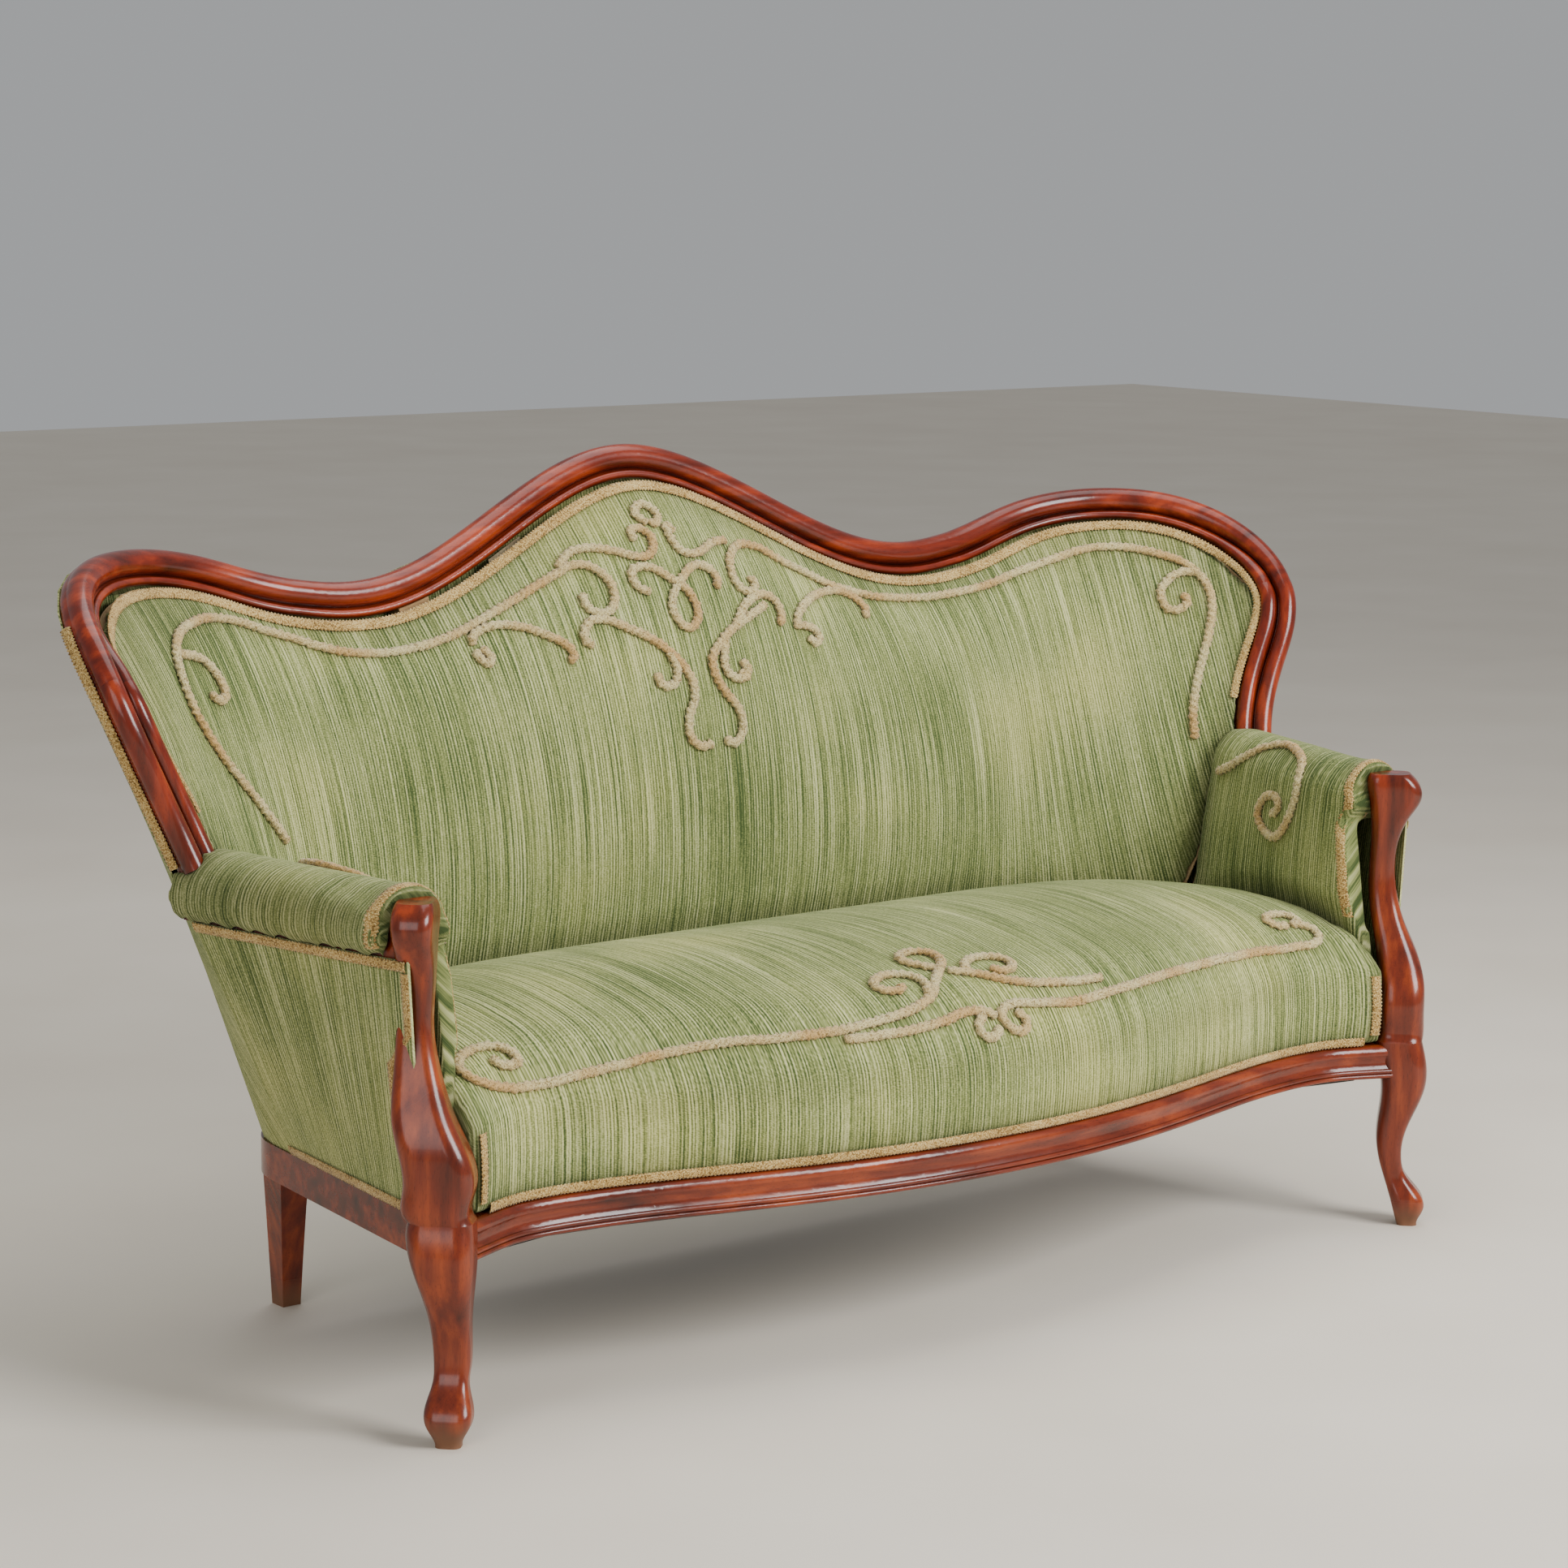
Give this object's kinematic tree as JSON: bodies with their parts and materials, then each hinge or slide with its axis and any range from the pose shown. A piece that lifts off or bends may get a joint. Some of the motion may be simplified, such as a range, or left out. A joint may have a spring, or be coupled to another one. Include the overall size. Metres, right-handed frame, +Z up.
{
  "type": "sofa",
  "caption": "Cabriole sofa with a serpentine carved show-wood back frame, padded rolled arms, sprung bow-front seat and short curved legs.",
  "frame": {"origin": "on the floor under the middle of the whole sofa's box", "axes": "+X along the length, to the viewer's right from the front; front faces -Y; +Z up"},
  "size_m": [2.0512, 0.8773, 1.0927],
  "materials": {
    "show_wood": "polished red-brown mahogany",
    "hidden_timber": "plain sawn beech",
    "velvet": "striped green velvet",
    "outside_velvet": "striped green velvet",
    "stuffing": "loose fibre stuffing",
    "hessian": "plain woven hessian",
    "webbing": "plain woven jute webbing",
    "gimp": "beige-gold braid",
    "chenille": "fuzzy two-ply cord",
    "spring_steel": "dull drawn wire",
    "screw_steel": "plain steel"
  },
  "bodies": {
    "root": {"arm_cover_left": "velvet", "arm_cover_right": "velvet", "arm_post_left": "show_wood", "arm_post_right": "show_wood", "arm_rail_left": "hidden_timber", "arm_rail_right": "hidden_timber", "arm_scroll_left": "chenille", "arm_scroll_right": "chenille", "arm_stuffing_left": "stuffing", "arm_stuffing_right": "stuffing", "back_cover": "velvet", "back_cross_rail": "hidden_timber", "back_gimp": "gimp", "back_hessian": "hessian", "back_post_left": "show_wood", "back_post_right": "show_wood", "back_scroll_centre": "chenille", "back_scroll_left": "chenille", "back_scroll_right": "chenille", "back_side_rail_left": "hidden_timber", "back_side_rail_right": "hidden_timber", "back_stile_left": "hidden_timber", "back_stile_right": "hidden_timber", "back_stuffing": "stuffing", "back_webbing": "webbing", "corner_block_screws": "screw_steel", "corner_blocks": "hidden_timber", "crest_rail": "show_wood", "dust_cover": "hessian", "frame_dowels": "hidden_timber", "front_leg_left": "show_wood", "front_leg_right": "show_wood", "front_rail": "show_wood", "inner_arm_gimp_left": "gimp", "inner_arm_gimp_right": "gimp", "outer_arm_cover_left": "outside_velvet", "outer_arm_cover_right": "outside_velvet", "outer_arm_gimp_left": "gimp", "outer_arm_gimp_right": "gimp", "outer_post_gimp_left": "gimp", "outer_post_gimp_right": "gimp", "outside_back_cover": "outside_velvet", "rear_leg_left": "show_wood", "rear_leg_right": "show_wood", "rear_rail": "hidden_timber", "rear_upright_left": "hidden_timber", "rear_upright_right": "hidden_timber", "seat_braces": "hidden_timber", "seat_cover": "velvet", "seat_gimp": "gimp", "seat_hessian": "hessian", "seat_scroll": "chenille", "seat_springs": "spring_steel", "seat_stuffing": "stuffing", "seat_webbing": "webbing", "shoulder_left": "show_wood", "shoulder_right": "show_wood", "side_rail_left": "show_wood", "side_rail_right": "show_wood"}
  },
  "joints": []
}
